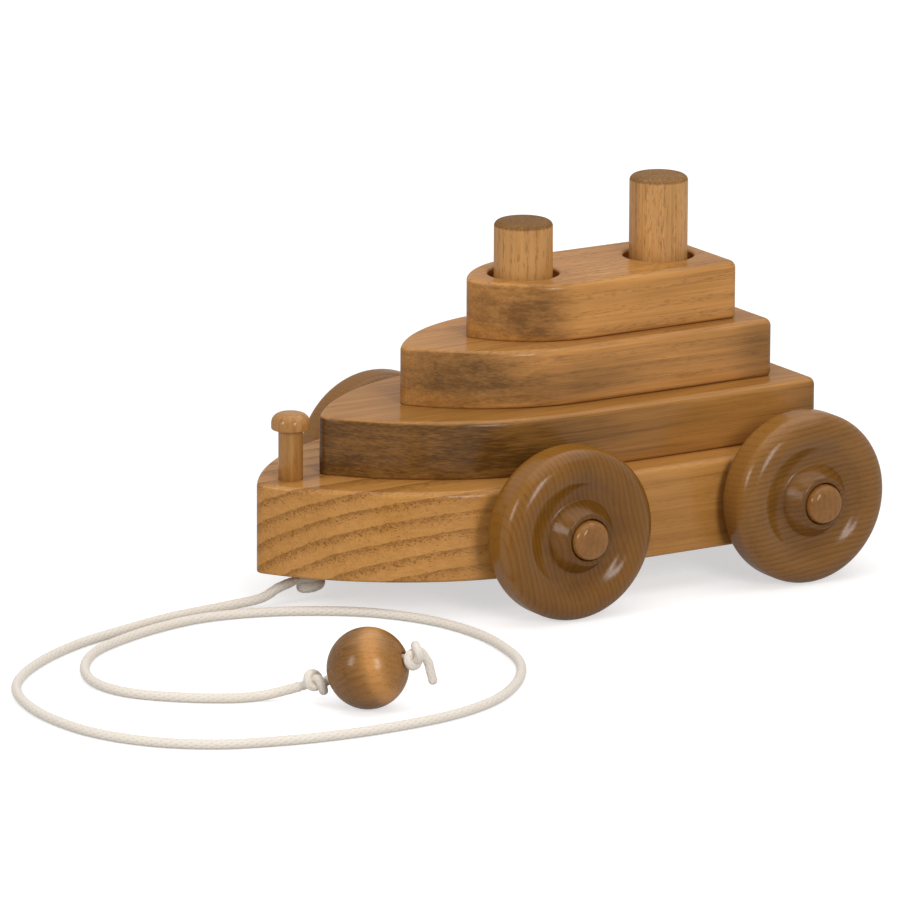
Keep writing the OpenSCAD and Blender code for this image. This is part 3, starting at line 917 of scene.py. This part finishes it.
def makeHull():
    bm = bmesh.new()
    addBoard(bm, hullPlan)
    piece = newPiece("hullBoard", bm, woodMaterial("hullWood", hullPlan["wood"]))
    easeEdges(piece, hullPlan["edgeR"])
    glue, past = holePlan["glue"], holePlan["past"]
    top = hullPlan["under"] + hullPlan["thick"]
    half = hullPlan["width"] / 2 + past
    boreR = axlePlan["diameter"] / 2 + axlePlan["play"]
    z = axlePlan["height"]
    cutters = [
        plainRod("axleBore", (x, -half, z), (x, half, z), yAxis, boreR)
        for x in (axlePlan["front"], axlePlan["rear"])
    ]
    cordX = hullKnotPlan["place"].x
    for name, x, diameter, foot, end in (
        ("socket", postPlan["front"][0], postPlan["diameter"], postPlan["foot"], top + past),
        ("socket", postPlan["rear"][0], postPlan["diameter"], postPlan["foot"], top + past),
        ("socket", pegPlan["x"], pegPlan["shank"], pegPlan["foot"], top + past),
        ("cordHole", cordX, cordPlan["diameter"], holePlan["cordFrom"], holePlan["cordTo"]),
    ):
        cutters.append(plainRod(name, (x, 0, foot), (x, 0, end), zAxis, diameter / 2 + glue))
    cutOut(piece, cutters)
    keepFlatsFlat(piece)
    settle(piece, "boat", "hull")


def makeDeck(name):
    plan = {**deckShape, **deckPlans[name]}
    plan["under"] += plan["rest"]
    bm = bmesh.new()
    addBoard(bm, plan)
    wood = {**deckFinish, **plan["wood"]}
    piece = newPiece(name + "DeckBoard", bm, woodMaterial(name + "DeckWood", wood))
    easeEdges(piece, plan["edgeR"])
    low, high = plan["under"], plan["under"] + plan["thick"]
    past, radius = holePlan["mouthPast"], postPlan["diameter"] / 2 + postPlan["play"]
    cutters = [
        plainRod("postHole", (x, 0, low - past), (x, 0, high + past), zAxis, radius, postPlan["mouth"])
        for x in (postPlan["front"][0], postPlan["rear"][0])
    ]
    cutOut(piece, cutters)
    keepFlatsFlat(piece)
    settle(piece, name + "_deck", "deck_" + name)


makeHull()
for deckName in deckPlans:
    makeDeck(deckName)
print("hull and decks made")


# turned pieces: posts, peg, axles and wheels

postWood = {
    "turn": (0, 90, 0), "grain": (0, 0, 1), "ringWidth": 2.6, "wander": 1.2,
    "deep": (134, 92, 48), "line": (82, 58, 34),
    "rings": 0.05, "pores": 0.5, "fibre": 0.6, "streaks": 0.4, "clouds": 0.7, "endFrom": (0.05, 0.4),
}
frontWood = {"heart": (0, 14, 22), "pale": (192, 141, 82), "endShade": 0.95}
rearWood = {"heart": (30, -20, -34), "pale": (206, 154, 93), "endShade": 0.85}


def makePost(name, node, x, top, wood):
    radius, rounding = postPlan["diameter"] / 2, postPlan["round"]
    foot, footEdge = postPlan["foot"], postPlan["footEdge"]
    bm = bmesh.new()
    corner = startAt(bm, (x, 0, foot))
    corner = lineTo(bm, corner, (x + radius - footEdge, 0, foot))
    corner = lineTo(bm, corner, (x + radius, 0, foot + footEdge))
    corner = lineTo(bm, corner, (x + radius, 0, top - rounding))
    corner = arcTo(bm, corner, (x + radius - rounding, 0, top - rounding), -yAxis, 90, postPlan["roundSteps"])
    lineTo(bm, corner, (x, 0, top))
    spinRound(bm, (x, 0, 0), zAxis)
    piece = newPiece(name, bm, woodMaterial(name + "Wood", {**postWood, **wood}))
    settle(piece, "boat", node)


makePost("frontPost", "post_front", *postPlan["front"], frontWood)
makePost("rearPost", "post_rear", *postPlan["rear"], rearWood)


def makePeg():
    wood = {
        "heart": (0, 6, 100), "turn": (0, 90, 0), "grain": (0, 0, 1), "ringWidth": 2.2, "wander": 0.8,
        "pale": (176, 126, 68), "deep": (120, 80, 36), "line": (84, 54, 24),
        "rings": 0.1, "pores": 0.25, "fibre": 0.5, "streaks": 0.6, "clouds": 0.6, "endShade": 0.0,
        "coat": 1.0, "coatRough": 0.12,
    }
    x, shankR, headR = pegPlan["x"], pegPlan["shank"] / 2, pegPlan["headD"] / 2
    foot, footEdge, edgeSteps = pegPlan["foot"], pegPlan["footEdge"], pegPlan["edgeSteps"]
    flatR, head, neckR = pegPlan["flatD"] / 2, pegPlan["headFrom"], pegPlan["neckR"]
    headEdge, domeFrom = pegPlan["headEdge"], head + pegPlan["headSide"]
    bm = bmesh.new()
    corner = startAt(bm, (x, 0, foot))
    corner = lineTo(bm, corner, (x + shankR - footEdge, 0, foot))
    corner = lineTo(bm, corner, (x + shankR, 0, foot + footEdge))
    corner = lineTo(bm, corner, (x + shankR, 0, head - neckR))
    corner = arcTo(bm, corner, (x + shankR + neckR, 0, head - neckR), yAxis, 90, edgeSteps)
    corner = lineTo(bm, corner, (x + headR - headEdge, 0, head))
    corner = arcTo(bm, corner, (x + headR - headEdge, 0, head + headEdge), -yAxis, 90, edgeSteps)
    corner = lineTo(bm, corner, (x + headR, 0, domeFrom))
    corner = arcTo(bm, corner, (x + flatR, 0, domeFrom), -yAxis, 90, pegPlan["domeSteps"])
    lineTo(bm, corner, (x, 0, domeFrom + headR - flatR))
    spinRound(bm, (x, 0, 0), zAxis, steps=pinTurnSteps)
    piece = newPiece("bowPeg", bm, woodMaterial("pegWood", wood), sharpAngle=turnedSharp)
    settle(piece, "boat", "bow_peg")


makePeg()

wheelPlan = {
    "inner": 49.7, "width": 17, "radius": 28, "tyreR": 6, "dishAt": 13.2, "dishSlope": 34, "dishJoin": 17.2,
    "hubR": 12, "hubSlope": 59, "footRound": 1.4, "hubProud": 3.4, "hubRound": 0.8,
    "bevel": 0.6, "bevelDeep": 1.1, "boreR": 6.4,
}
wheelSteps = {"back": 12, "rim": 14, "dish": 10, "foot": 8, "hub": 6, "turn": 128}
# the wheels' rims and hub slopes are painted lighter than their faces: painted light on the rim
wheelWood = {
    "ringWidth": 1.7, "wander": 0.5, "deep": (84, 51, 12), "line": (60, 35, 8),
    "rings": 0.45, "pores": 0.2, "fibre": 0.4, "streaks": 0.1, "clouds": 0.3, "coat": 1.0,
    "endShade": 0.0, "relief": 0.04, "faceStainAndLight": {"axis": (0, 1, 0), "from": (0.75, 0.25), "amount": -0.4},
}
axleWood = {
    "turn": (0, 0, -90), "grain": (0, 1, 0), "ringWidth": 2.0, "wander": 0.8,
    "pale": (156, 106, 52), "deep": (104, 66, 28), "line": (74, 46, 18),
    "rings": 0.1, "pores": 0.3, "fibre": 0.4, "streaks": 0.3, "clouds": 0.5, "endShade": 0.15,
    "coat": 1.0, "coatRough": 0.12,
}


def makeAxle(name, body, node, x, wood):
    radius, rounding, end = axlePlan["diameter"] / 2, axlePlan["round"], axlePlan["end"]
    z, steps = axlePlan["height"], axlePlan["roundSteps"]
    bm = bmesh.new()
    corner = startAt(bm, (x, -end, z))
    corner = lineTo(bm, corner, (x + radius - rounding, -end, z))
    corner = arcTo(bm, corner, (x + radius - rounding, rounding - end, z), zAxis, 90, steps)
    corner = lineTo(bm, corner, (x + radius, end - rounding, z))
    corner = arcTo(bm, corner, (x + radius - rounding, end - rounding, z), zAxis, 90, steps)
    lineTo(bm, corner, (x, end, z))
    spinRound(bm, (x, 0, z), yAxis, steps=pinTurnSteps)
    piece = newPiece(name, bm, woodMaterial(name + "Wood", wood))
    settle(piece, body, node)


def makeWheel(name, body, node, x, side, wood):
    z, base = axlePlan["height"], wheelPlan["inner"]
    radius, tyreR, width = wheelPlan["radius"], wheelPlan["tyreR"], wheelPlan["width"]
    boreR, bevel = wheelPlan["boreR"], wheelPlan["bevel"]
    hubRound, foot = wheelPlan["hubRound"], wheelPlan["footRound"]
    tyreAt = radius - tyreR
    # inside its crest the rim falls into the dish on a round crown and a hollow of one slope
    dishSlope = wheelPlan["dishSlope"]
    slope = math.radians(dishSlope)
    crownR = (tyreAt - wheelPlan["dishJoin"]) / math.sin(slope)
    dishR = (wheelPlan["dishJoin"] - wheelPlan["dishAt"]) / math.sin(slope)
    crest = base + width
    low = crest - (crownR + dishR) * (1 - math.cos(slope))
    # the hub is a cone between a small hollow at its foot and a round edge at its face
    hubSlope = wheelPlan["hubSlope"]
    lean = math.radians(hubSlope)
    top = crest + wheelPlan["hubProud"]
    footAt = wheelPlan["hubR"] + foot * math.tan(lean / 2)
    rise = top - low - (foot + hubRound) * (1 - math.cos(lean))
    faceAt = footAt - (foot + hubRound) * math.sin(lean) - rise / math.tan(lean)
    bm = bmesh.new()
    corner = startAt(bm, (x + boreR, base, z))
    corner = lineTo(bm, corner, (x + tyreAt, base, z))
    corner = arcTo(bm, corner, (x + tyreAt, base + tyreR, z), zAxis, 90, wheelSteps["back"])
    corner = lineTo(bm, corner, (x + radius, crest - tyreR, z))
    corner = arcTo(bm, corner, (x + tyreAt, crest - tyreR, z), zAxis, 90, wheelSteps["rim"])
    steps = wheelSteps["dish"]
    corner = arcTo(bm, corner, (x + tyreAt, crest - crownR, z), zAxis, dishSlope, steps)
    corner = arcTo(bm, corner, (x + wheelPlan["dishAt"], low + dishR, z), -zAxis, dishSlope, steps)
    corner = lineTo(bm, corner, (x + footAt, low, z))
    corner = arcTo(bm, corner, (x + footAt, low + foot, z), -zAxis, hubSlope, wheelSteps["foot"])
    coneTop = (x + faceAt + hubRound * math.sin(lean), top - hubRound * (1 - math.cos(lean)), z)
    corner = lineTo(bm, corner, coneTop)
    corner = arcTo(bm, corner, (x + faceAt, top - hubRound, z), zAxis, hubSlope, wheelSteps["hub"])
    corner = lineTo(bm, corner, (x + boreR + bevel, top, z))
    corner = lineTo(bm, corner, (x + boreR, top - wheelPlan["bevelDeep"], z))
    lineTo(bm, corner, (x + boreR, base, z))
    spinRound(bm, (x, 0, z), yAxis, steps=wheelSteps["turn"])
    if side < 0:
        bmesh.ops.scale(bm, verts=bm.verts, vec=(1, -1, 1))
        cleanUp(bm)
    piece = newPiece(name, bm, woodMaterial(name + "Wood", wood))
    settle(piece, body, node)


# how each pair's grain is turned, how far off its heart is, and its pale tone
wheelLooks = {
    "front": {"turn": (0, 76, 0), "away": (0, -6, 118), "pale": (135, 89, 31)},
    "rear": {"turn": (0, -6, 0), "away": (0, 8, -92), "pale": (142, 97, 44)},
}
# the dish and hub are darker: partly stain, partly painted shade in the dish's hollow
dishStainAndShade = {"reach": (18, 12, 18), "amount": 0.5}
# off each axle's middle
axleHeart = (10, -12, -18)
for end, looks in wheelLooks.items():
    body, x, z = end + "_wheels", axlePlan[end], axlePlan["height"]
    heart = (axleHeart[0], axleHeart[1] - x, axleHeart[2])
    makeAxle(end + "Axle", body, "axle_" + end, x, {**axleWood, "heart": heart})
    for label, side in (("port", 1), ("starboard", -1)):
        middle = (x, side * (wheelPlan["inner"] + wheelPlan["width"] / 2), z)
        face = (x, side * (wheelPlan["inner"] + wheelPlan["width"]), z)
        wood = {
            **wheelWood, "turn": looks["turn"], "heart": heartFrom(middle, looks["turn"], looks["away"]),
            "pale": looks["pale"], "patches": [(face, dishStainAndShade["reach"], dishStainAndShade["amount"])],
        }
        makeWheel(end + label.capitalize() + "Wheel", body, "wheel_" + end + "_" + label, x, side, wood)
print("turned pieces made")


# a pale floor, a plain room with a white background, and three soft lamps

lamps = {
    "leftLamp": {"toward": (0.87, 0.12, 0.40), "away": 1.6, "size": (0.38, 0.6), "power": 7.4},
    "rightLamp": {"toward": (0.08, 0.92, 0.40), "away": 1.6, "size": (0.36, 0.72), "power": 10.6},
    "topLamp": {"toward": (-0.1, 0.0, 1.0), "away": 1.8, "size": (2.6, 2.6), "power": 28},
}
roomPlan = {
    "aim": Vector((0.05, 0.03, 0.04)), "light": 0.25, "floor": 0.6, "floorLift": 0.58, "floorSize": 6,
}


def backgroundRays(tree):
    # the rays that see the white background: straight from the camera, mirrored, or through glass
    path = addNode(tree, "ShaderNodeLightPath").outputs
    seen = combine(tree, "MAXIMUM", path["Is Camera Ray"], path["Is Glossy Ray"])
    return combine(tree, "MAXIMUM", seen, path["Is Transmission Ray"])


def makeLamp(name, plan):
    data = bpy.data.lights.new(name, "AREA")
    data.shape = "RECTANGLE"
    data.size, data.size_y = plan["size"]
    data.energy = plan["power"]
    lamp = bpy.data.objects.new(name, data)
    toward = Vector(plan["toward"]).normalized()
    lamp.location = roomPlan["aim"] + toward * plan["away"]
    lamp.rotation_euler = toward.to_track_quat("Z", "Y").to_euler()
    bpy.context.scene.collection.objects.link(lamp)


def makeWorld():
    world = bpy.data.worlds.new("room")
    bpy.context.scene.world = world
    world.use_nodes = True
    tree = world.node_tree
    tree.nodes.clear()
    strength = plus(tree, times(tree, backgroundRays(tree), 1 - roomPlan["light"]), roomPlan["light"])
    glow = addNode(tree, "ShaderNodeBackground", {"Color": (1, 1, 1, 1), "Strength": strength})
    addNode(tree, "ShaderNodeOutputWorld", {"Surface": glow.outputs[0]})


def makeFloor():
    # grey to the lamps, so that it throws little light up, and lifted to white for the background's rays
    material, tree = newMaterial("floorPale")
    shade = roomPlan["floor"]
    matte = addNode(tree, "ShaderNodeBsdfDiffuse", {"Color": (shade, shade, shade, 1)})
    lift = times(tree, backgroundRays(tree), roomPlan["floorLift"])
    glow = addNode(tree, "ShaderNodeEmission", {"Strength": lift})
    both = addNode(tree, "ShaderNodeAddShader", {0: matte.outputs[0], 1: glow.outputs[0]})
    addNode(tree, "ShaderNodeOutputMaterial", {"Surface": both.outputs[0]})
    bm = bmesh.new()
    bmesh.ops.create_grid(bm, x_segments=1, y_segments=1, size=roomPlan["floorSize"] / 2)
    floor = linkMesh("floor", bm)
    floor.data.materials.append(material)


for lampName, lampPlan in lamps.items():
    makeLamp(lampName, lampPlan)
makeWorld()
makeFloor()
bpy.context.scene.view_settings.view_transform = "Standard"
print("room made")
